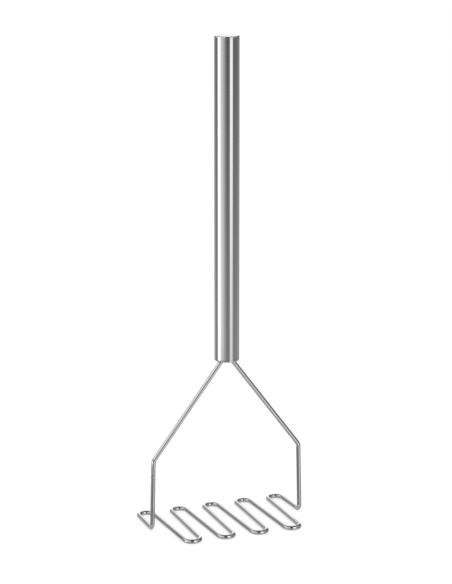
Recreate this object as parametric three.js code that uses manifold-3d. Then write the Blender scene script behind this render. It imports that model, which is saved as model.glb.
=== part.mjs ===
// A potato masher: a round steel tube closed by two pressed caps, and one thick wire that leaves the
// lower cap on both sides, drops as two legs and zigzags between them as a flat mashing head.
//
// Millimetres, +Z up. The origin is on the surface that the head stands on, below the handle's axis.
// +X runs across the head from leg to leg, and +Y to the side where the outermost turns lie.

import * as THREE from "three";
import { mergeVertices } from "three/addons/utils/BufferGeometryUtils.js";
import Module from "manifold-3d";

const wasm = await Module();
wasm.setup();

// ---- Driving dimensions ----

const overallHeight = 457.2; // 18 in
const clearance = 0.3; // between pieces that meet

const tube = { outerRadius: 11.5, wall: 1.2, bottomZ: 160.1 };
const cap = { thickness: 1.6, edgeRadius: 1, collarWall: 1.2, collarDepth: 7 };
const seam = { height: 0.5, depth: 0.9 };

const wireRadius = 2.1;
const runCount = 10;
const runPitch = 16.5; // centre to centre of neighbouring runs
const headReach = 45.5; // from the handle's axis to a turn's centreline, front and back
const turnPinch = 1.2; // each run's end stands this much nearer to the run that it turns into
const turnRadius = 6.9; // bends of the zigzag
const footRadius = 6; // bend from leg to outermost run
const legLean = 1.6; // each leg's foot stands this much further out than its shoulder
const shoulderZ = 67.8; // corner between leg and sloping arm
const shoulderRadius = 8.3;
const tailSpacing = 5.8; // between the two tails inside the handle
const tailBendZ = 159.7;
const tailBendRadius = 6;
const tailTopZ = 190;

const bead = { radius: 4, height: 1.6, centreX: 5.1 };

const roundSegments = 48; // round the handle's axis
const wireSides = 12;
const degreesPerStep = 22.5; // along a bend

// ---- Worked out from them ----

const quarterTurn = Math.PI / 2;
const headWidth = (runCount - 1) * runPitch;
const topSeamZ = overallHeight - cap.thickness - clearance; // upper side of the top weld ring
const tubeTopZ = topSeamZ - seam.height - clearance;
const bottomSeamZ = tube.bottomZ - clearance; // upper side of the bottom weld ring
const bottomCapZ = bottomSeamZ - seam.height - clearance; // inner face of the bottom cap
const handleBottomZ = bottomCapZ - cap.thickness;
const tubeInnerRadius = tube.outerRadius - tube.wall;
const collarOuterRadius = tubeInnerRadius - clearance;
const collarInnerRadius = collarOuterRadius - cap.collarWall;

// ---- Geometry helpers ----

/** A body of revolution about Z from [radius, z] pairs, going up on its outer side. */
function turned(profile) {
  const points = profile.map(([radius, z]) => new THREE.Vector2(radius, z));
  const body = new THREE.LatheGeometry(points, roundSegments);
  return body.rotateX(quarterTurn); // the lathe turns about Y
}

/** Points of a quarter-round edge, from its first to its last angle in radians. */
function edgeArc(centreRadius, centreZ, radius, from, to, steps = 3) {
  return Array.from({ length: steps + 1 }, (_, i) => {
    const angle = from + ((to - from) * i) / steps;
    return [centreRadius + radius * Math.cos(angle), centreZ + radius * Math.sin(angle)];
  });
}

/** The closed surface as a manifold-3d solid. */
function toSolid(geometry) {
  const bare = geometry.clone().deleteAttribute("normal").deleteAttribute("uv");
  const merged = mergeVertices(bare, 1e-4);
  return new wasm.Manifold(
    new wasm.Mesh({
      numProp: 3,
      vertProperties: merged.attributes.position.array,
      triVerts: new Uint32Array(merged.index.array),
    }),
  );
}

/** The first closed surface with the second one's space cut away. */
function cutAway(body, tool) {
  const mesh = toSolid(body).subtract(toSolid(tool)).getMesh();
  const cut = new THREE.BufferGeometry();
  cut.setAttribute("position", new THREE.BufferAttribute(new Float32Array(mesh.vertProperties), 3));
  cut.setIndex(new THREE.BufferAttribute(new Uint32Array(mesh.triVerts), 1));
  cut.computeVertexNormals();
  return cut;
}

/**
 * The centreline of a bent wire: straight stretches joined by round bends. It has a station only at
 * its ends and along its bends, so a straight stretch is one step of the sweep.
 */
class BentWire extends THREE.Curve {
  /** @param corners list of { at: Vector3, radius } from end to end, the two ends with no radius */
  constructor(corners) {
    super();
    const last = corners.length - 1;
    this.points = [];
    this.tangents = [];
    corners.forEach(({ at, radius }, i) => {
      const before = at.clone().sub(corners[Math.max(i - 1, 0)].at).normalize();
      const after = corners[Math.min(i + 1, last)].at.clone().sub(at).normalize();
      if (i === 0) this.addStation(at, after);
      else if (i === last) this.addStation(at, before);
      else this.addBend(at, radius, before, after);
    });
  }

  addStation(point, tangent) {
    this.points.push(point.clone());
    this.tangents.push(tangent.clone());
  }

  /** A round bend of the given radius in place of the corner. */
  addBend(corner, radius, before, after) {
    const angle = before.angleTo(after);
    const start = corner.clone().addScaledVector(before, -radius * Math.tan(angle / 2));
    const axis = before.clone().cross(after).normalize();
    const inward = axis.clone().cross(before);
    const centre = start.clone().addScaledVector(inward, radius);
    const steps = Math.ceil(THREE.MathUtils.radToDeg(angle) / degreesPerStep - 1e-6);
    for (let i = 0; i <= steps; i++) {
      const turn = (angle * i) / steps;
      const spoke = inward.clone().multiplyScalar(-radius).applyAxisAngle(axis, turn);
      this.addStation(centre.clone().add(spoke), before.clone().applyAxisAngle(axis, turn));
    }
  }

  get steps() {
    return this.points.length - 1;
  }

  getPointAt(u, target = new THREE.Vector3()) {
    return target.copy(this.points[Math.round(u * this.steps)]);
  }

  getTangentAt(u, target = new THREE.Vector3()) {
    return target.copy(this.tangents[Math.round(u * this.steps)]);
  }

  /** The section is level at the head's middle, and is carried from there to both ends untwisted. */
  computeFrenetFrames() {
    const { tangents, steps } = this;
    const middle = Math.round(steps / 2);
    const normals = Array(steps + 1);
    normals[middle] = new THREE.Vector3(0, 0, 1);
    const carry = (from, to) => {
      const turn = new THREE.Quaternion().setFromUnitVectors(tangents[from], tangents[to]);
      normals[to] = normals[from].clone().applyQuaternion(turn);
    };
    for (let i = middle; i < steps; i++) carry(i, i + 1);
    for (let i = middle; i > 0; i--) carry(i, i - 1);
    const binormals = tangents.map((tangent, i) => tangent.clone().cross(normals[i]));
    return { tangents, normals, binormals };
  }
}

/** A solid round bar of the given radius along the wire, its flats touching that radius. */
function sweptBar(wire, radius) {
  const cornerRadius = radius / Math.cos(Math.PI / wireSides);
  const section = new THREE.Shape(
    Array.from({ length: wireSides }, (_, i) => {
      const angle = ((i + 0.5) * 2 * Math.PI) / wireSides;
      return new THREE.Vector2(cornerRadius * Math.cos(angle), cornerRadius * Math.sin(angle));
    }),
  );
  const options = { steps: wire.steps, extrudePath: wire, bevelEnabled: false };
  return new THREE.ExtrudeGeometry(section, options);
}

// ---- The wire's route ----

/** Corners of the zigzag from the left run to the right one, turning at the back first. */
function headCorners() {
  const corners = [];
  for (let run = 0; run < runCount - 1; run++) {
    const y = run % 2 === 0 ? headReach : -headReach;
    const x = run * runPitch + turnPinch - headWidth / 2;
    const nextX = x + runPitch - 2 * turnPinch;
    corners.push({ at: new THREE.Vector3(x, y, wireRadius), radius: turnRadius });
    corners.push({ at: new THREE.Vector3(nextX, y, wireRadius), radius: turnRadius });
  }
  return corners;
}

/** Corners of one side from its tail's end to its foot: side is -1 on the left and 1 on the right. */
function sideCorners(side) {
  const tailX = (side * tailSpacing) / 2;
  const footX = (side * headWidth) / 2;
  return [
    { at: new THREE.Vector3(tailX, 0, tailTopZ) },
    { at: new THREE.Vector3(tailX, 0, tailBendZ), radius: tailBendRadius },
    { at: new THREE.Vector3(footX - side * legLean, 0, shoulderZ), radius: shoulderRadius },
    { at: new THREE.Vector3(footX, 0, wireRadius), radius: footRadius },
  ];
}

const wireRoute = new BentWire([
  ...sideCorners(-1),
  ...headCorners(),
  ...sideCorners(1).reverse(),
]);

// ---- Sub-parts ----

function handleTubeGeometry() {
  return turned([
    [tubeInnerRadius, tube.bottomZ],
    [tube.outerRadius, tube.bottomZ],
    [tube.outerRadius, tubeTopZ],
    [tubeInnerRadius, tubeTopZ],
    [tubeInnerRadius, tube.bottomZ],
  ]);
}

/** Pressed cap for the upper end: a plate with a rounded rim and a collar that sits in the tube. */
function topCapGeometry() {
  const innerZ = overallHeight - cap.thickness;
  const rimRadius = tube.outerRadius - cap.edgeRadius;
  return turned([
    [0, innerZ],
    [collarInnerRadius, innerZ],
    [collarInnerRadius, innerZ - cap.collarDepth],
    [collarOuterRadius, innerZ - cap.collarDepth],
    [collarOuterRadius, innerZ],
    [tube.outerRadius, innerZ],
    ...edgeArc(rimRadius, overallHeight - cap.edgeRadius, cap.edgeRadius, 0, quarterTurn),
    [0, overallHeight],
  ]);
}

/** Pressed cap for the lower end, pierced where the wire's two tails go through. */
function bottomCapGeometry() {
  const rimRadius = tube.outerRadius - cap.edgeRadius;
  const plate = turned([
    [0, handleBottomZ],
    ...edgeArc(rimRadius, handleBottomZ + cap.edgeRadius, cap.edgeRadius, -quarterTurn, 0),
    [tube.outerRadius, bottomCapZ],
    [collarOuterRadius, bottomCapZ],
    [collarOuterRadius, bottomCapZ + cap.collarDepth],
    [collarInnerRadius, bottomCapZ + cap.collarDepth],
    [collarInnerRadius, bottomCapZ],
    [0, bottomCapZ],
  ]);
  return cutAway(plate, sweptBar(wireRoute, wireRadius + clearance));
}

/** Ring of weld metal between the tube's end and a cap, ground flush with both. */
function seamWeldGeometry(topZ) {
  const innerRadius = tube.outerRadius - seam.depth;
  return turned([
    [innerRadius, topZ - seam.height],
    [tube.outerRadius, topZ - seam.height],
    [tube.outerRadius, topZ],
    [innerRadius, topZ],
    [innerRadius, topZ - seam.height],
  ]);
}

/** Bead of weld metal under the bottom cap, all round the wire: side is -1 or 1. */
function wireWeldGeometry(side) {
  const steps = 4;
  const dome = Array.from({ length: steps + 1 }, (_, i) => {
    const angle = (quarterTurn * i) / steps;
    return [bead.radius * Math.sin(angle), -bead.height * Math.cos(angle)];
  });
  const body = turned([...dome, [0, 0]]);
  body.translate(side * bead.centreX, 0, handleBottomZ - clearance);
  return cutAway(body, sweptBar(wireRoute, wireRadius + clearance));
}

// ---- Materials ----

/** Bare stainless steel with the given tone and roughness. */
function steel(color, roughness) {
  return new THREE.MeshStandardMaterial({ color, roughness, metalness: 1 });
}

// ---- Assembly ----

const masher = new THREE.Group();
masher.name = "potato_masher";

function addPart(parent, name, geometry, material) {
  const mesh = new THREE.Mesh(geometry, material);
  mesh.name = name;
  parent.add(mesh);
}

const handle = new THREE.Group();
addPart(handle, "handle_tube", handleTubeGeometry(), steel(0xb9babb, 0.22));
addPart(handle, "top_cap", topCapGeometry(), steel(0xc4c5c6, 0.28));
addPart(handle, "top_seam_weld", seamWeldGeometry(topSeamZ), steel(0xa9aaab, 0.35));
addPart(handle, "bottom_cap", bottomCapGeometry(), steel(0xb9babb, 0.28));
addPart(handle, "bottom_seam_weld", seamWeldGeometry(bottomSeamZ), steel(0xa9aaab, 0.35));

const head = new THREE.Group();
addPart(head, "masher_wire", sweptBar(wireRoute, wireRadius), steel(0xb0b1b2, 0.25));
addPart(head, "left_wire_weld", wireWeldGeometry(-1), steel(0x9d9c99, 0.45));
addPart(head, "right_wire_weld", wireWeldGeometry(1), steel(0x9d9c99, 0.45));

masher.add(handle, head);

export default masher;
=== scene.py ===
"""Looks of a stainless potato masher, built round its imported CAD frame.

The tool is a capped round tube with one bent wire welded into its lower end. Every CAD node is
replaced by a finer mesh of the same size and place, and each gets the finish its real surface has.
Units are metres in the frame's own axes; sizes are written in millimetres and scaled by MM.
"""

import logging
import math
from dataclasses import dataclass
from enum import Enum
from typing import Any, Sequence

import bmesh
import bpy
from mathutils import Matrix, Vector


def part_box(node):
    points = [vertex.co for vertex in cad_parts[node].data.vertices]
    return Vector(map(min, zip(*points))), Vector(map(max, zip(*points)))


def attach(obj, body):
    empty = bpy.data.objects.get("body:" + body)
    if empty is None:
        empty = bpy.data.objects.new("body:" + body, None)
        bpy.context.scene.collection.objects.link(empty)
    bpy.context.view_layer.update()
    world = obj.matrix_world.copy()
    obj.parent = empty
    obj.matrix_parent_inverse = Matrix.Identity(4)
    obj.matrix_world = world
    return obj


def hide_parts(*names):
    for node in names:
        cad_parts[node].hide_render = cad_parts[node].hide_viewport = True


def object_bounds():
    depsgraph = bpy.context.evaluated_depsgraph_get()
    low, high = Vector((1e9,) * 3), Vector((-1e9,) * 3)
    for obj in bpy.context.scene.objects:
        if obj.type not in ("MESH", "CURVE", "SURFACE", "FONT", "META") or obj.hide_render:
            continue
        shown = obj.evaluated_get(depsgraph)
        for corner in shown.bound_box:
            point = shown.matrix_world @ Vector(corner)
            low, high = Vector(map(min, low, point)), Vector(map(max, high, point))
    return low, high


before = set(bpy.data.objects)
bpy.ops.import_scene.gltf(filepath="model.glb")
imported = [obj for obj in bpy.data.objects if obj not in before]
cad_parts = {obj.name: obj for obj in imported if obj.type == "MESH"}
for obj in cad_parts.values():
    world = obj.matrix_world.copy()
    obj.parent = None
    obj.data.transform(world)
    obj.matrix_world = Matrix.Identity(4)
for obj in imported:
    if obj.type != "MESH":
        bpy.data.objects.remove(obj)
CAD_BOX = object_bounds()

LOG = logging.getLogger("masher")
MM = 0.001
BODY = "root"
FAR_CLIP = 200.0

# How a finish's noise turns into its look.
CLOUD_SHARE = 0.45  # how much of the roughness follows the clouds. The rest follows the lines
ROUGHNESS_NOISE = (0.32, 0.68)  # noise that gives the lowest and the highest roughness
TONE_NOISE = (0.3, 0.7)  # noise that gives the darkest and the brightest line
DARKEST_LINE = 0.93  # tone of the darkest line, as a share of the brightest


class Slot(Enum):
    """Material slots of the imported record."""

    HANDLE = "handle_steel"
    CAP = "cap_steel"
    GROUND_WELD = "ground_weld"
    WIRE = "wire_steel"
    BEAD = "weld_bead"


class End(Enum):
    """The handle's two ends: the way out of the tube along Z."""

    TOP = 1
    BOTTOM = -1


class Side(Enum):
    """The two sides of the head along X."""

    LEFT = -1
    RIGHT = 1


# ---- Small helpers ----


def linear(hex_colour: str) -> tuple[float, float, float, float]:
    """Turns an sRGB hex colour into linear RGBA.

    Args:
        hex_colour: Six hex digits with a leading #.

    Returns:
        Linear red, green and blue, with alpha 1.
    """
    channels = (int(hex_colour[i : i + 2], 16) / 255 for i in (1, 3, 5))
    return (*(c / 12.92 if c <= 0.04045 else ((c + 0.055) / 1.055) ** 2.4 for c in channels), 1.0)


def add_node(
    tree: bpy.types.NodeTree,
    kind: str,
    inputs: dict[str | int, Any] | None = None,
    **settings: Any,
) -> bpy.types.Node:
    """Adds one node with its settings and its inputs' values or links.

    Args:
        tree: Shader, world or geometry node tree.
        kind: Blender's name for the node's type.
        inputs: Socket name or index to a value, or to the output socket it is linked from.
        **settings: Properties of the node itself.

    Returns:
        The new node.
    """
    made = tree.nodes.new(kind)
    for name, value in settings.items():
        setattr(made, name, value)
    for key, value in (inputs or {}).items():
        if isinstance(value, bpy.types.NodeSocket):
            tree.links.new(value, made.inputs[key])
        else:
            made.inputs[key].default_value = value
    return made


def new_material(name: str) -> tuple[bpy.types.Material, bpy.types.NodeTree]:
    """Makes an empty node material.

    Args:
        name: Name of the finish.

    Returns:
        The material and its node tree, with no nodes in it.
    """
    material = bpy.data.materials.new(name)
    material.use_nodes = True
    material.node_tree.nodes.clear()
    return material, material.node_tree


def add_object(name: str, mesh: bpy.types.Mesh) -> bpy.types.Object:
    """Puts a mesh in the scene, its place in its vertices.

    Args:
        name: Name of the piece.
        mesh: Finished mesh in the frame's coordinates.

    Returns:
        The object that holds it.
    """
    mesh.name = name
    piece = bpy.data.objects.new(name, mesh)
    bpy.context.scene.collection.objects.link(piece)
    return piece


def smooth(mesh: bpy.types.Mesh, sharp_degrees: float = 40.0) -> None:
    """Shades a mesh smooth, except over edges sharper than the given angle."""
    mesh.shade_smooth()
    mesh.set_sharp_from_angle(angle=math.radians(sharp_degrees))


def evaluated_copy(source: bpy.types.Object) -> bpy.types.Mesh:
    """Turns an object with its modifiers into a plain mesh.

    Args:
        source: Object whose modifiers are live.

    Returns:
        A new mesh with the modifiers' result.
    """
    graph = bpy.context.evaluated_depsgraph_get()
    return bpy.data.meshes.new_from_object(source.evaluated_get(graph), depsgraph=graph)


def set_inputs(modifier: bpy.types.NodesModifier, values: dict[str, Any]) -> None:
    """Sets a Geometry Nodes modifier's inputs by the identifiers behind their names.

    Args:
        modifier: Modifier whose tree has those inputs.
        values: Input name to value.
    """
    for item in modifier.node_group.interface.items_tree:
        if item.item_type == "SOCKET" and item.in_out == "INPUT" and item.name in values:
            modifier[item.identifier] = values[item.name]


def geometry_tree(
    name: str, inputs: dict[str, str]
) -> tuple[bpy.types.NodeTree, bpy.types.Node, bpy.types.Node]:
    """Starts a Geometry Nodes tree with named inputs.

    Args:
        name: Name of the tree.
        inputs: Input name to socket type, after the geometry itself.

    Returns:
        The tree, its Group Input node and its Group Output node.
    """
    tree = bpy.data.node_groups.new(name, "GeometryNodeTree")
    tree.interface.new_socket("Geometry", in_out="INPUT", socket_type="NodeSocketGeometry")
    for label, kind in inputs.items():
        tree.interface.new_socket(label, in_out="INPUT", socket_type=kind)
    tree.interface.new_socket("Geometry", in_out="OUTPUT", socket_type="NodeSocketGeometry")
    return tree, add_node(tree, "NodeGroupInput"), add_node(tree, "NodeGroupOutput")


def grow(
    name: str, base: bpy.types.Mesh, tree: bpy.types.NodeTree, values: dict[str, Any]
) -> bpy.types.Mesh:
    """Runs a Geometry Nodes tree on a base mesh and returns the plain result.

    Args:
        name: Name for the working object.
        base: Mesh that the tree starts from.
        tree: Geometry Nodes tree.
        values: The tree's named inputs.

    Returns:
        The finished mesh.
    """
    worker = add_object(name + "_base", base)
    modifier = worker.modifiers.new("grow", "NODES")
    modifier.node_group = tree
    set_inputs(modifier, values)
    mesh = evaluated_copy(worker)
    bpy.data.objects.remove(worker)
    return mesh


def arc(
    centre: tuple[float, float], radius: float, start: float, end: float, steps: int = 8
) -> list[tuple[float, float]]:
    """Points of a round edge in a turned profile.

    Args:
        centre: Radius and height of the arc's centre.
        radius: Radius of the arc.
        start: First angle in degrees, from the outward direction towards +Z.
        end: Last angle in degrees.
        steps: Number of straight steps.

    Returns:
        A list of (radius, height) points.
    """
    angles = (math.radians(start + (end - start) * i / steps) for i in range(steps + 1))
    return [(centre[0] + radius * math.cos(a), centre[1] + radius * math.sin(a)) for a in angles]


def turned(profile: Sequence[tuple[float, float]], closed: bool, sides: int = 144) -> bpy.types.Mesh:
    """Turns a profile round the Z axis.

    Args:
        profile: (radius, height) points. A radius of 0 makes a pole.
        closed: Whether the last point joins the first, for a ring with a hole.
        sides: Number of steps round the axis.

    Returns:
        A closed mesh with its faces outwards.
    """
    made = bmesh.new()
    rings = []
    for radius, height in profile:
        if radius == 0:
            rings.append([made.verts.new((0, 0, height))])
            continue
        angles = (2 * math.pi * i / sides for i in range(sides))
        places = ((radius * math.cos(a), radius * math.sin(a), height) for a in angles)
        rings.append([made.verts.new(place) for place in places])
    pairs = list(zip(rings, rings[1:])) + ([(rings[-1], rings[0])] if closed else [])
    for lower, upper in pairs:
        for i in range(sides):
            j = (i + 1) % sides
            below, above = len(lower), len(upper)
            corners = [lower[i % below], lower[j % below], upper[j % above], upper[i % above]]
            made.faces.new(list(dict.fromkeys(corners)))
    bmesh.ops.recalc_face_normals(made, faces=made.faces)
    mesh = bpy.data.meshes.new("turned")
    made.to_mesh(mesh)
    made.free()
    return mesh


# ---- Finishes ----


@dataclass(frozen=True)
class Steel:
    """Stainless steel with fine lines left by the way its surface was made.

    The lines are a noise stretched along the working direction. It changes the roughness most, the
    height a little and the tone least, as fine scratches do on real polished steel.

    Attributes:
        name: What the surface is and how it was made.
        tone: Reflected colour as sRGB hex.
        roughness: Lowest and highest roughness between the lines.
        line_mm: Width of a line. Real ones are 0.02 to 0.1 mm, drawn wider so that they show.
        line_length_mm: Length of a line.
        cloud_mm: Size of the soft patches where the polish is duller.
        line_height_mm: Depth of a line.
    """

    name: str
    tone: str
    roughness: tuple[float, float]
    line_mm: float
    line_length_mm: float
    cloud_mm: float
    line_height_mm: float

    def place(self, tree: bpy.types.NodeTree) -> bpy.types.NodeSocket:
        """Returns the position that the pattern reads, in metres, with its lines along Z."""
        return add_node(tree, "ShaderNodeTexCoord").outputs["Object"]

    def material(self) -> bpy.types.Material:
        """Returns the finish's material, made on its first use."""
        return bpy.data.materials.get(self.name) or self.build()

    def build(self) -> bpy.types.Material:
        """Makes the material.

        Returns:
            A procedural metal material.
        """
        material, tree = new_material(self.name)
        place = self.place(tree)
        across, along = 1 / (self.line_mm * MM), 1 / (self.line_length_mm * MM)
        stretched = add_node(
            tree,
            "ShaderNodeVectorMath",
            {0: place, 1: (across, across, along)},
            operation="MULTIPLY",
        )
        lines = add_node(
            tree,
            "ShaderNodeTexNoise",
            {"Vector": stretched.outputs[0], "Scale": 1.0, "Detail": 3.0, "Roughness": 0.6},
        )
        clouds = add_node(
            tree,
            "ShaderNodeTexNoise",
            {"Vector": place, "Scale": 1 / (self.cloud_mm * MM), "Detail": 2.0},
        )
        mixed = add_node(
            tree,
            "ShaderNodeMix",
            {"Factor": CLOUD_SHARE, "A": lines.outputs["Fac"], "B": clouds.outputs["Fac"]},
        )
        roughness = add_node(
            tree,
            "ShaderNodeMapRange",
            {"Value": mixed.outputs["Result"], "From Min": ROUGHNESS_NOISE[0],
             "From Max": ROUGHNESS_NOISE[1], "To Min": self.roughness[0], "To Max": self.roughness[1]},
        )
        shade = add_node(
            tree,
            "ShaderNodeMapRange",
            {"Value": lines.outputs["Fac"], "From Min": TONE_NOISE[0], "From Max": TONE_NOISE[1],
             "To Min": DARKEST_LINE, "To Max": 1.0},
        )
        tint = add_node(
            tree,
            "ShaderNodeVectorMath",
            {0: linear(self.tone)[:3], "Scale": shade.outputs["Result"]},
            operation="SCALE",
        )
        bump = add_node(
            tree,
            "ShaderNodeBump",
            {"Strength": 1.0, "Distance": self.line_height_mm * MM, "Height": lines.outputs["Fac"]},
        )
        shader = add_node(
            tree,
            "ShaderNodeBsdfPrincipled",
            {"Base Color": tint.outputs[0], "Metallic": 1.0, "Roughness": roughness.outputs["Result"],
             "Normal": bump.outputs["Normal"]},
        )
        add_node(tree, "ShaderNodeOutputMaterial", {"Surface": shader.outputs[0]})
        return material


@dataclass(frozen=True)
class WireSteel(Steel):
    """Steel whose lines follow a bent wire, read from the wire's own attributes."""

    def place(self, tree: bpy.types.NodeTree) -> bpy.types.NodeSocket:
        """Reads the place on the wire's section, with the way along the wire as Z.

        Args:
            tree: The material's tree.

        Returns:
            The position that the pattern reads.
        """
        section = add_node(tree, "ShaderNodeAttribute", attribute_name="section")
        along = add_node(tree, "ShaderNodeAttribute", attribute_name="along")
        parts = add_node(tree, "ShaderNodeSeparateXYZ", {0: section.outputs["Vector"]})
        whole = add_node(
            tree,
            "ShaderNodeCombineXYZ",
            {0: parts.outputs[0], 1: parts.outputs[1], 2: along.outputs["Fac"]},
        )
        return whole.outputs[0]


# Buffed 304 tube: near mirror, with faint lengthwise lines from the polishing belt.
BUFFED_TUBE = Steel(
    name="buffed_stainless_tube",
    tone="#D2D2D2",
    roughness=(0.05, 0.11),
    line_mm=1.1,
    line_length_mm=160.0,
    cloud_mm=28.0,
    line_height_mm=0.0006,
)
# Pressed 304 disc: ground flat, so its face is a little softer than the tube.
GROUND_CAP = Steel(
    name="ground_stainless_cap",
    tone="#D2D2D2",
    roughness=(0.14, 0.24),
    line_mm=0.6,
    line_length_mm=12.0,
    cloud_mm=9.0,
    line_height_mm=0.0008,
)
# Weld ring ground level with the tube: the same polish over a slightly greyer metal.
GROUND_WELD = Steel(
    name="ground_weld_ring",
    tone="#C6C6C6",
    roughness=(0.10, 0.20),
    line_mm=0.5,
    line_length_mm=3.0,
    cloud_mm=5.0,
    line_height_mm=0.0008,
)
# Drawn 304 wire, electropolished: bright, with faint die lines along its length.
DRAWN_WIRE = WireSteel(
    name="drawn_stainless_wire",
    tone="#D0D0D0",
    roughness=(0.08, 0.16),
    line_mm=0.8,
    line_length_mm=45.0,
    cloud_mm=18.0,
    line_height_mm=0.0005,
)
# TIG bead, pickled and electropolished: silvery and satin over its ripples.
TIG_BEAD = Steel(
    name="tig_weld_bead",
    tone="#B9B9B8",
    roughness=(0.22, 0.36),
    line_mm=0.3,
    line_length_mm=0.8,
    cloud_mm=2.0,
    line_height_mm=0.004,
)


# ---- Sub-assemblies ----


def settle(piece: bpy.types.Object, node: str, finish: Steel) -> bpy.types.Object:
    """Gives a finished piece its material, and ties it to the frame in its CAD node's place.

    Args:
        piece: Object with its final mesh.
        node: CAD node that it stands for.
        finish: Finish of its surface.

    Returns:
        The same object.
    """
    piece.data.materials.clear()
    piece.data.materials.append(finish.material())
    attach(piece, BODY)
    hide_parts(node)
    return piece


@dataclass
class Handle:
    """The closed tube: its wall, two pressed caps and the ground weld rings between them.

    Attributes:
        wall: Thickness of the tube's wall.
        edge_radius: Rounding of a cap's rim.
        plate: Thickness of a cap's plate.
        collar_wall: Thickness of a cap's collar, inside the tube.
        collar_play: Room between the collar and the tube's wall.
        face_margin: Width of the flat ring next to a cap's rim, which keeps its face's shading flat.
        weld_dip: How far a ground weld ring lies below the tube's surface.
    """

    wall: float = 1.2 * MM
    edge_radius: float = 1.0 * MM
    plate: float = 1.6 * MM
    collar_wall: float = 1.2 * MM
    collar_play: float = 0.05 * MM
    face_margin: float = 0.2 * MM
    weld_dip: float = 0.03 * MM

    def __post_init__(self) -> None:
        """Reads the tube's radius and the levels of its seams from the frame."""
        self.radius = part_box("top_cap")[1].x
        self.low_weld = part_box("bottom_seam_weld")
        self.high_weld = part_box("top_seam_weld")

    def build(self) -> list[bpy.types.Object]:
        """Builds and dresses all five pieces.

        Returns:
            The pieces, from the tube to the lower weld ring.
        """
        pieces = [self.build_tube()]
        for end in End:
            pieces += [self.build_cap(end), self.build_weld(end)]
        return pieces

    def build_tube(self) -> bpy.types.Object:
        """Builds the tube's wall between the two weld rings.

        Returns:
            The dressed piece.
        """
        low, high = self.low_weld[1].z, self.high_weld[0].z
        inner, outer = self.radius - self.wall, self.radius
        mesh = turned([(inner, low), (outer, low), (outer, high), (inner, high)], closed=True)
        smooth(mesh)
        return settle(add_object("handle_tube_wall", mesh), "handle_tube", BUFFED_TUBE)

    def cap_levels(self, end: End) -> tuple[str, float, float]:
        """Finds where a cap lies.

        Args:
            end: Which end of the handle.

        Returns:
            The cap's node, the level of its outer face, and the level of its collar's open edge.
        """
        node = "top_cap" if end is End.TOP else "bottom_cap"
        low, high = (corner.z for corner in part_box(node))
        return (node, high, low) if end is End.TOP else (node, low, high)

    def build_cap(self, end: End) -> bpy.types.Object:
        """Builds one pressed cap: plate, rounded rim and collar.

        Args:
            end: Which end of the handle.

        Returns:
            The dressed piece.
        """
        node, face, collar_end = self.cap_levels(end)
        out = end.value
        inside = face - out * self.plate
        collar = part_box("handle_tube")[1].x - self.wall - self.collar_play
        rim = self.radius - self.edge_radius
        corner = arc((rim, face - out * self.edge_radius), self.edge_radius, 0, out * 90)
        flat_edge = (rim - self.face_margin, face)
        profile = [
            (0, inside),
            (collar - self.collar_wall, inside),
            (collar - self.collar_wall, collar_end),
            (collar, collar_end),
            (collar, inside),
            (self.radius, inside),
            *corner,
            flat_edge,
            (0, face),
        ]
        mesh = turned(profile, closed=False)
        smooth(mesh)
        return settle(add_object(node + "_shell", mesh), node, GROUND_CAP)

    def build_weld(self, end: End) -> bpy.types.Object:
        """Builds one ground weld ring, which fills the seam between tube and cap.

        Args:
            end: Which end of the handle.

        Returns:
            The dressed piece.
        """
        _, face, _ = self.cap_levels(end)
        box = self.high_weld if end is End.TOP else self.low_weld
        seam = sorted((face - end.value * self.plate, (box[0] if end is End.TOP else box[1]).z))
        outer = self.radius - self.weld_dip
        inner = self.radius - self.wall
        profile = [(inner, seam[0]), (outer, seam[0]), (outer, seam[1]), (inner, seam[1])]
        mesh = turned(profile, closed=True)
        smooth(mesh)
        node = "top_seam_weld" if end is End.TOP else "bottom_seam_weld"
        return settle(add_object(node + "_ring", mesh), node, GROUND_WELD)


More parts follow.
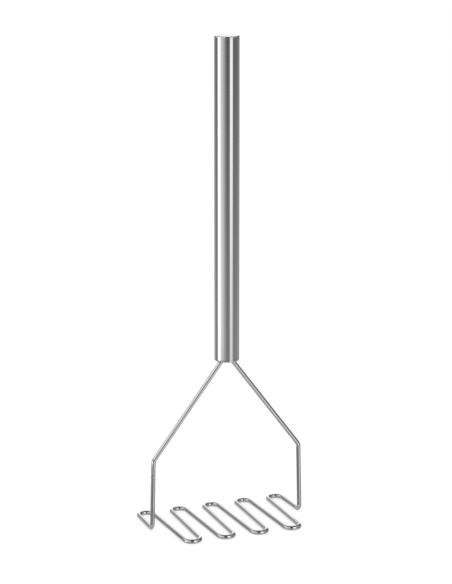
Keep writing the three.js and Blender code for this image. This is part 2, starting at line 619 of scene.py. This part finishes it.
@dataclass
class MasherWire:
    """The one wire that makes both arms, both legs and the zigzag head.

    Attributes:
        radius: Radius of the round wire.
        run_count: Runs of the head.
        run_pitch: Centre to centre of neighbouring runs.
        turn_pinch: How much nearer each run's end stands to the run that it turns into.
        turn_radius: Bends of the zigzag, on the wire's centreline.
        foot_radius: Bend from a leg to its outermost run.
        leg_lean: How much further out a leg's foot stands than its shoulder.
        shoulder_z: Height of the corner between leg and arm.
        shoulder_radius: Bend at that corner.
        tail_spacing: Distance between the two tails inside the handle.
        tail_bend_z: Height of the corner where an arm turns upright inside the cap.
        tail_bend_radius: Bend at that corner.
        bend_steps: Steps of each bend.
        sides: Steps round the wire.
    """

    radius: float = 2.1 * MM
    run_count: int = 10
    run_pitch: float = 16.5 * MM
    turn_pinch: float = 1.2 * MM
    turn_radius: float = 6.9 * MM
    foot_radius: float = 6.0 * MM
    leg_lean: float = 1.6 * MM
    shoulder_z: float = 67.8 * MM
    shoulder_radius: float = 8.3 * MM
    tail_spacing: float = 5.8 * MM
    tail_bend_z: float = 159.7 * MM
    tail_bend_radius: float = 6.0 * MM
    bend_steps: int = 16
    sides: int = 40

    def __post_init__(self) -> None:
        """Reads the head's depth and the tails' height from the frame."""
        low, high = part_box("masher_wire")
        self.half_width = (self.run_count - 1) * self.run_pitch / 2
        self.reach = (high.y - low.y) / 2 - self.radius
        self.tail_top_z = high.z

    def side_corners(self, side: Side) -> list[tuple[Vector, float]]:
        """Lists one side's corners from its tail to its foot.

        Args:
            side: Left or right.

        Returns:
            Pairs of a corner's place and its bend radius.
        """
        s = side.value
        return [
            (Vector((s * self.tail_spacing / 2, 0, self.tail_top_z)), 0.0),
            (Vector((s * self.tail_spacing / 2, 0, self.tail_bend_z)), self.tail_bend_radius),
            (Vector((s * (self.half_width - self.leg_lean), 0, self.shoulder_z)), self.shoulder_radius),
            (Vector((s * self.half_width, 0, self.radius)), self.foot_radius),
        ]

    def head_corners(self) -> list[tuple[Vector, float]]:
        """Lists the zigzag's corners from left to right, the first turn at the back.

        Returns:
            Pairs of a corner's place and its bend radius.
        """
        corners = []
        for run in range(self.run_count - 1):
            y = self.reach if run % 2 == 0 else -self.reach
            first = run * self.run_pitch - self.half_width
            for x in (first + self.turn_pinch, first + self.run_pitch - self.turn_pinch):
                corners.append((Vector((x, y, self.radius)), self.turn_radius))
        return corners

    def route(self) -> bpy.types.Mesh:
        """Makes the sharp-cornered route as a chain of edges.

        Returns:
            A mesh whose points carry their bend radius.
        """
        corners = self.side_corners(Side.LEFT) + self.head_corners()
        corners += self.side_corners(Side.RIGHT)[::-1]
        mesh = bpy.data.meshes.new("wire_route")
        chain = [(i, i + 1) for i in range(len(corners) - 1)]
        mesh.from_pydata([place for place, _ in corners], chain, [])
        radii = mesh.attributes.new("bend_radius", "FLOAT", "POINT")
        radii.data.foreach_set("value", [radius for _, radius in corners])
        return mesh

    def tree(self) -> bpy.types.NodeTree:
        """Makes the nodes that round the route's corners and sweep the wire along it.

        Returns:
            A Geometry Nodes tree with the wire's sizes as inputs.
        """
        sizes = {
            "Wire Radius": "NodeSocketFloat",
            "Bend Steps": "NodeSocketInt",
            "Sides": "NodeSocketInt",
            "Finish": "NodeSocketMaterial",
        }
        tree, start, end = geometry_tree("bent_wire", sizes)
        given = start.outputs
        line = add_node(tree, "GeometryNodeMeshToCurve", {"Mesh": given["Geometry"]})
        bend = add_node(
            tree, "GeometryNodeInputNamedAttribute", {"Name": "bend_radius"}, data_type="FLOAT"
        )
        bent = add_node(
            tree,
            "GeometryNodeFilletCurve",
            {"Curve": line.outputs[0], "Count": given["Bend Steps"], "Radius": bend.outputs[0]},
            mode="POLY",
        )
        way = add_node(tree, "GeometryNodeSplineParameter")
        measured = add_node(
            tree,
            "GeometryNodeStoreNamedAttribute",
            {"Geometry": bent.outputs[0], "Name": "along", "Value": way.outputs["Length"]},
            data_type="FLOAT",
            domain="POINT",
        )
        circle = add_node(
            tree,
            "GeometryNodeCurvePrimitiveCircle",
            {"Resolution": given["Sides"], "Radius": given["Wire Radius"]},
        )
        section = add_node(
            tree,
            "GeometryNodeStoreNamedAttribute",
            {"Geometry": circle.outputs[0], "Name": "section",
             "Value": add_node(tree, "GeometryNodeInputPosition").outputs[0]},
            data_type="FLOAT_VECTOR",
            domain="POINT",
        )
        swept = add_node(
            tree,
            "GeometryNodeCurveToMesh",
            {"Curve": measured.outputs[0], "Profile Curve": section.outputs[0], "Fill Caps": True},
        )
        real = add_node(tree, "GeometryNodeRealizeInstances", {"Geometry": swept.outputs[0]})
        dressed = add_node(
            tree,
            "GeometryNodeSetMaterial",
            {"Geometry": real.outputs[0], "Material": given["Finish"]},
        )
        tree.links.new(dressed.outputs[0], end.inputs[0])
        return tree

    def build(self) -> bpy.types.Object:
        """Builds and dresses the wire.

        Returns:
            The dressed piece.
        """
        values = {
            "Wire Radius": self.radius,
            "Bend Steps": self.bend_steps,
            "Sides": self.sides,
            "Finish": DRAWN_WIRE.material(),
        }
        mesh = grow("masher_wire", self.route(), self.tree(), values)
        smooth(mesh)
        return settle(add_object("masher_wire_bar", mesh), "masher_wire", DRAWN_WIRE)


@dataclass
class WireWeld:
    """The bead that joins the wire to the bottom cap on one side.

    Attributes:
        side: Left or right.
        bead_radius: Half the bead's width.
        ripple_count: Ripples round the bead, one for each dab of the torch.
        ripple_depth: How much a ripple narrows the bead, as a share of its radius.
        spread: How far the bead's middle lies outside the wire, as a share of its radius.
        ripple_steps: Steps along one ripple.
        sides: Steps round the bead.
    """

    side: Side
    bead_radius: float = 1.15 * MM
    ripple_count: int = 16
    ripple_depth: float = 0.22
    spread: float = 0.35
    ripple_steps: int = 10
    sides: int = 20

    def tree(self) -> bpy.types.NodeTree:
        """Makes the nodes that lay a rippled bead along an oval.

        Returns:
            A Geometry Nodes tree with the bead's sizes as inputs.
        """
        sizes = {
            "Oval Scale": "NodeSocketVector",
            "Centre": "NodeSocketVector",
            "Bead Radius": "NodeSocketFloat",
            "Ripples": "NodeSocketInt",
            "Ripple Depth": "NodeSocketFloat",
            "Finish": "NodeSocketMaterial",
        }
        tree, start, end = geometry_tree("rippled_bead", sizes)
        given = start.outputs
        steps = add_node(
            tree,
            "ShaderNodeMath",
            {0: given["Ripples"], 1: float(self.ripple_steps)},
            operation="MULTIPLY",
        )
        ring = add_node(
            tree,
            "GeometryNodeCurvePrimitiveCircle",
            {"Resolution": steps.outputs[0], "Radius": 1.0},
        )
        oval = add_node(
            tree,
            "GeometryNodeTransform",
            {"Geometry": ring.outputs[0], "Translation": given["Centre"], "Scale": given["Oval Scale"]},
        )
        way = add_node(tree, "GeometryNodeSplineParameter")
        phase = add_node(
            tree,
            "ShaderNodeMath",
            {0: way.outputs["Factor"], 1: given["Ripples"]},
            operation="MULTIPLY",
        )
        saw = add_node(tree, "ShaderNodeMath", {0: phase.outputs[0]}, operation="FRACT")
        dip = add_node(tree, "ShaderNodeMath", {0: saw.outputs[0], 1: 2.0}, operation="POWER")
        depth = add_node(
            tree,
            "ShaderNodeMath",
            {0: dip.outputs[0], 1: given["Ripple Depth"]},
            operation="MULTIPLY",
        )
        width = add_node(tree, "ShaderNodeMath", {0: 1.0, 1: depth.outputs[0]}, operation="SUBTRACT")
        section = add_node(
            tree,
            "GeometryNodeCurvePrimitiveCircle",
            {"Resolution": self.sides, "Radius": given["Bead Radius"]},
        )
        swept = add_node(
            tree,
            "GeometryNodeCurveToMesh",
            {"Curve": oval.outputs[0], "Profile Curve": section.outputs[0],
             "Scale": width.outputs[0]},
        )
        real = add_node(tree, "GeometryNodeRealizeInstances", {"Geometry": swept.outputs[0]})
        dressed = add_node(
            tree,
            "GeometryNodeSetMaterial",
            {"Geometry": real.outputs[0], "Material": given["Finish"]},
        )
        tree.links.new(dressed.outputs[0], end.inputs[0])
        return tree

    def build(self, wire: MasherWire) -> bpy.types.Object:
        """Builds and dresses the bead.

        Args:
            wire: The wire that it joins.

        Returns:
            The dressed piece.
        """
        node = self.side.name.lower() + "_wire_weld"
        low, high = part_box(node)
        run = wire.half_width - wire.leg_lean - wire.tail_spacing / 2
        slope = run / (wire.tail_bend_z - wire.shoulder_z)
        across = wire.radius + self.spread * self.bead_radius
        values = {
            "Oval Scale": (across * math.hypot(1, slope), across, 1.0),
            "Centre": ((low.x + high.x) / 2, 0.0, high.z),
            "Bead Radius": self.bead_radius,
            "Ripples": self.ripple_count,
            "Ripple Depth": self.ripple_depth,
            "Finish": TIG_BEAD.material(),
        }
        mesh = grow(node, bpy.data.meshes.new(node), self.tree(), values)
        smooth(mesh, 180)
        return settle(add_object(node + "_bead", mesh), node, TIG_BEAD)


# ---- Studio ----


@dataclass(frozen=True)
class Panel:
    """One soft light panel of the studio, as a patch of the dome that only reflections see.

    Attributes:
        azimuth: Direction of its middle in degrees, 0 at -Y and 90 at +X.
        half_width: Half its full-bright width in degrees.
        fade: Degrees over which its side edges fade out.
        low: Elevation of its lower edge in degrees.
        high: Elevation of its upper edge in degrees.
        end_fade: Half the degrees over which its lower and upper edges fade out.
        light: Brightness that it adds to the dome.
    """

    azimuth: float
    half_width: float
    fade: float
    low: float
    high: float
    end_fade: float
    light: float


@dataclass(frozen=True)
class Studio:
    """White table, white surroundings, and the panels that the polished steel mirrors.

    Attributes:
        near_radius: Radius of the dome that carries the room's grey and the near panels.
        far_radius: Radius of the dome that carries the far panels.
        room_low: Brightness of the room near the table.
        room_high: Brightness of the room overhead.
        room_levels: Heights, as sines of the elevation, between which the room darkens.
        floor_radius: Radius of the table.
        table_glow: Brightness of the table's own light, which keeps its shadows faint.
        sky_light: Brightness of the white surroundings.
        lamp_watts: Power of the soft lamp overhead.
        lamp_size: Width of that lamp.
        lamp_place: Where it hangs.
        near_panels: Panels about an arm's length from the tool.
        far_panels: Panels across the room.
    """

    near_radius: float = 1.5
    far_radius: float = 6.0
    room_low: float = 0.33
    room_high: float = 0.08
    room_levels: tuple[float, float] = (-0.14, 0.44)
    floor_radius: float = 60.0
    table_glow: float = 0.72
    sky_light: float = 1.06
    lamp_watts: float = 8.0
    lamp_size: float = 2.2
    lamp_place: tuple[float, float, float] = (-0.4, -0.5, 1.8)
    near_panels: tuple[Panel, ...] = (
        Panel(-90, 50, 15, 18, 60, 5, 1.0),  # softbox high on the left
        Panel(-14, 8, 8, -12, 30, 6, -0.04),  # black flag round the camera
        Panel(20, 12, 3, -10, 50, 20, 1.18),  # narrow strip right of the camera
        Panel(104, 6, 10, -30, 30, 6, 0.15),  # faint card on the right
        Panel(160, 12, 8, -30, 50, 4, 0.3),  # broad panel behind
        Panel(160, 12, 8, 7, 26, 3, 0.95),  # its brighter middle
        Panel(160, 12, 8, 26, 50, 3, 0.6),  # its top
        Panel(190, 14, 14, -30, 45, 6, 0.28),  # its spill on the wall
        Panel(45, 34, 16, 18, 52, 6, 0.5),  # high card at the front right, seen in the top disc
        Panel(0, 180, 1, -90, -26, 8, 0.25),  # light coming back from the table
        Panel(-70, 60, 20, -26, -11, 2, -0.09),  # dark edge of the table
        Panel(24, 16, 5, -26, -11.5, 1.5, 0.6),  # the narrow strip's glow on the table
    )
    far_panels: tuple[Panel, ...] = (
        Panel(-96, 10, 6, -14.6, 10, 0.6, 1.6),  # tall strip on the left, ending above the table
        Panel(-75, 0, 56, -14.6, 10, 0.6, 0.72),  # its spill towards the front
    )

    def build(self) -> None:
        """Builds the floor, the surroundings, the lamp and the two domes of panels."""
        self.build_floor()
        self.build_sky()
        self.build_lamp()
        self.build_dome("near_panels", self.near_radius, self.near_material())
        self.build_dome("far_panels", self.far_radius, self.far_material())

    def build_floor(self) -> None:
        """Lays the pale table, which the steel doesn't mirror."""
        made = bmesh.new()
        bmesh.ops.create_circle(made, cap_ends=True, segments=96, radius=self.floor_radius)
        mesh = bpy.data.meshes.new("floor")
        made.to_mesh(mesh)
        made.free()
        floor = add_object("floor", mesh)
        material, tree = new_material("backlit_white_acrylic")
        shader = add_node(
            tree,
            "ShaderNodeBsdfPrincipled",
            {"Base Color": linear("#8F8F8F"), "Roughness": 1.0, "Specular IOR Level": 0.0,
             "Emission Color": linear("#FFFFFF"), "Emission Strength": self.table_glow},
        )
        add_node(tree, "ShaderNodeOutputMaterial", {"Surface": shader.outputs[0]})
        material.cycles.emission_sampling = "NONE"
        mesh.materials.append(material)
        floor.visible_glossy = False

    def build_sky(self) -> None:
        """Surrounds the scene with even white light."""
        world = bpy.data.worlds.new("white_surroundings")
        world.use_nodes = True
        tree = world.node_tree
        tree.nodes.clear()
        light = add_node(
            tree, "ShaderNodeBackground", {"Color": linear("#FFFFFF"), "Strength": self.sky_light}
        )
        add_node(tree, "ShaderNodeOutputWorld", {"Surface": light.outputs[0]})
        bpy.context.scene.world = world

    def build_lamp(self) -> None:
        """Hangs the wide soft lamp overhead, which lights the table only."""
        data = bpy.data.lights.new("overhead_softbox", "AREA")
        data.shape = "DISK"
        data.size = self.lamp_size
        data.energy = self.lamp_watts
        lamp = bpy.data.objects.new("overhead_softbox", data)
        lamp.location = self.lamp_place
        lamp.rotation_euler = Vector(lamp.location).to_track_quat("Z", "Y").to_euler()
        lamp.visible_camera = False
        lamp.visible_glossy = False
        bpy.context.scene.collection.objects.link(lamp)

    def build_dome(self, name: str, radius: float, material: bpy.types.Material) -> None:
        """Puts panels on a dome that only mirror rays see.

        Args:
            name: Name of the dome.
            radius: Its radius.
            material: Its light.
        """
        made = bmesh.new()
        bmesh.ops.create_uvsphere(made, u_segments=64, v_segments=32, radius=radius)
        mesh = bpy.data.meshes.new(name)
        made.to_mesh(mesh)
        made.free()
        dome = add_object(name, mesh)
        mesh.materials.append(material)
        dome.visible_camera = False
        dome.visible_diffuse = False
        dome.visible_transmission = False
        dome.visible_shadow = False

    def near_material(self) -> bpy.types.Material:
        """Makes the near dome's light, and leaves it clear for what lies behind.

        Returns:
            A material with the grey room and the near panels.
        """
        material, tree = new_material("near_studio_panels")
        flat, height = self.directions(tree)
        light = add_node(
            tree,
            "ShaderNodeMapRange",
            {"Value": height, "From Min": self.room_levels[0], "From Max": self.room_levels[1],
             "To Min": self.room_low, "To Max": self.room_high},
        ).outputs["Result"]
        glow = self.panel_glow(tree, self.near_panels, flat, height, light)
        clear = add_node(tree, "ShaderNodeBsdfTransparent")
        both = add_node(tree, "ShaderNodeAddShader", {0: glow, 1: clear.outputs[0]})
        add_node(tree, "ShaderNodeOutputMaterial", {"Surface": both.outputs[0]})
        material.cycles.emission_sampling = "NONE"
        return material

    def far_material(self) -> bpy.types.Material:
        """Makes the far dome's light.

        Returns:
            A material with the far panels on black.
        """
        material, tree = new_material("far_studio_panels")
        flat, height = self.directions(tree)
        glow = self.panel_glow(tree, self.far_panels, flat, height, 0.0)
        add_node(tree, "ShaderNodeOutputMaterial", {"Surface": glow})
        material.cycles.emission_sampling = "NONE"
        return material

    def directions(
        self, tree: bpy.types.NodeTree
    ) -> tuple[bpy.types.NodeSocket, bpy.types.NodeSocket]:
        """Adds the nodes that read a dome's directions from its middle.

        Args:
            tree: The dome's shader tree.

        Returns:
            The horizontal unit direction and the sine of the elevation.
        """
        place = add_node(tree, "ShaderNodeTexCoord").outputs["Object"]
        unit = add_node(tree, "ShaderNodeVectorMath", {0: place}, operation="NORMALIZE").outputs[0]
        height = add_node(tree, "ShaderNodeSeparateXYZ", {0: unit}).outputs[2]
        level = add_node(tree, "ShaderNodeVectorMath", {0: unit, 1: (1, 1, 0)}, operation="MULTIPLY")
        flat = add_node(tree, "ShaderNodeVectorMath", {0: level.outputs[0]}, operation="NORMALIZE")
        return flat.outputs[0], height

    def panel_glow(
        self,
        tree: bpy.types.NodeTree,
        panels: tuple[Panel, ...],
        flat: bpy.types.NodeSocket,
        height: bpy.types.NodeSocket,
        light: bpy.types.NodeSocket | float,
    ) -> bpy.types.NodeSocket:
        """Adds a dome's panels to its light.

        Args:
            tree: The dome's shader tree.
            panels: The panels.
            flat: Horizontal unit direction.
            height: Sine of the elevation.
            light: Brightness without the panels.

        Returns:
            The shader output of the dome's light.
        """
        for panel in panels:
            light = self.add_panel(tree, panel, flat, height, light)
        glow = add_node(tree, "ShaderNodeEmission", {"Color": linear("#FFFFFF"), "Strength": light})
        return glow.outputs[0]

    def add_panel(
        self,
        tree: bpy.types.NodeTree,
        panel: Panel,
        flat: bpy.types.NodeSocket,
        height: bpy.types.NodeSocket,
        light: bpy.types.NodeSocket | float,
    ) -> bpy.types.NodeSocket:
        """Adds one panel to the dome's light.

        Args:
            tree: The dome's shader tree.
            panel: The panel.
            flat: Horizontal unit direction.
            height: Sine of the elevation.
            light: Brightness before this panel.

        Returns:
            Brightness with this panel.
        """
        angle = math.radians(panel.azimuth)
        facing = add_node(
            tree,
            "ShaderNodeVectorMath",
            {0: flat, 1: (math.sin(angle), -math.cos(angle), 0)},
            operation="DOT_PRODUCT",
        ).outputs["Value"]
        off_middle = add_node(tree, "ShaderNodeMath", {0: facing}, operation="ARCCOSINE").outputs[0]
        elevation = add_node(tree, "ShaderNodeMath", {0: height}, operation="ARCSINE").outputs[0]
        windows = (
            (off_middle, panel.half_width + panel.fade, panel.half_width),
            (elevation, panel.low - panel.end_fade, panel.low + panel.end_fade),
            (elevation, panel.high + panel.end_fade, panel.high - panel.end_fade),
        )
        share = None
        for value, dark, bright in windows:
            window = add_node(
                tree,
                "ShaderNodeMapRange",
                {"Value": value, "From Min": math.radians(dark), "From Max": math.radians(bright)},
                interpolation_type="SMOOTHSTEP",
            ).outputs["Result"]
            if share is None:
                share = window
                continue
            both = add_node(tree, "ShaderNodeMath", {0: share, 1: window}, operation="MULTIPLY")
            share = both.outputs[0]
        return add_node(
            tree,
            "ShaderNodeMath",
            {0: share, 1: panel.light, 2: light},
            operation="MULTIPLY_ADD",
        ).outputs[0]


@dataclass(frozen=True)
class Camera:
    """A long lens looking slightly down on the tool.

    Attributes:
        azimuth: Side that it looks from in degrees, 0 looking along +Y.
        elevation: Degrees above the horizon.
        distance: From the aim point, in metres.
        lens_mm: Focal length.
        sensor_mm: Width of the sensor.
        aim_offset: From the middle of the object's box to the aim point.
    """

    azimuth: float = -21.71
    elevation: float = 13.67
    distance: float = 2.0428
    lens_mm: float = 137.48
    sensor_mm: float = 36.0
    aim_offset: tuple[float, float, float] = (-0.75 * MM, 0.0, -6.8 * MM)

    def build(self) -> None:
        """Makes the camera and sets it as the scene's own."""
        a, e = math.radians(self.azimuth), math.radians(self.elevation)
        back = Vector((math.sin(a) * math.cos(e), -math.cos(a) * math.cos(e), math.sin(e)))
        aim = (CAD_BOX[0] + CAD_BOX[1]) / 2 + Vector(self.aim_offset)
        data = bpy.data.cameras.new("camera")
        data.lens = self.lens_mm
        data.sensor_width = self.sensor_mm
        data.clip_end = FAR_CLIP
        camera = bpy.data.objects.new("camera", data)
        camera.location = aim + back * self.distance
        camera.rotation_euler = (-back).to_track_quat("-Z", "Y").to_euler()
        bpy.context.scene.collection.objects.link(camera)
        bpy.context.scene.camera = camera


def main() -> None:
    """Builds the masher and its studio, and reports each piece."""
    logging.basicConfig(level=logging.INFO, format="%(name)s: %(message)s")
    bpy.context.scene.view_settings.view_transform = "Standard"
    wire = MasherWire()
    pieces = [*Handle().build(), wire.build(), *(WireWeld(side).build(wire) for side in Side)]
    for piece in pieces:
        LOG.info("%s: %d faces, %s", piece.name, len(piece.data.polygons), piece.active_material.name)
    Studio().build()
    Camera().build()


if __name__ == "__main__":
    main()
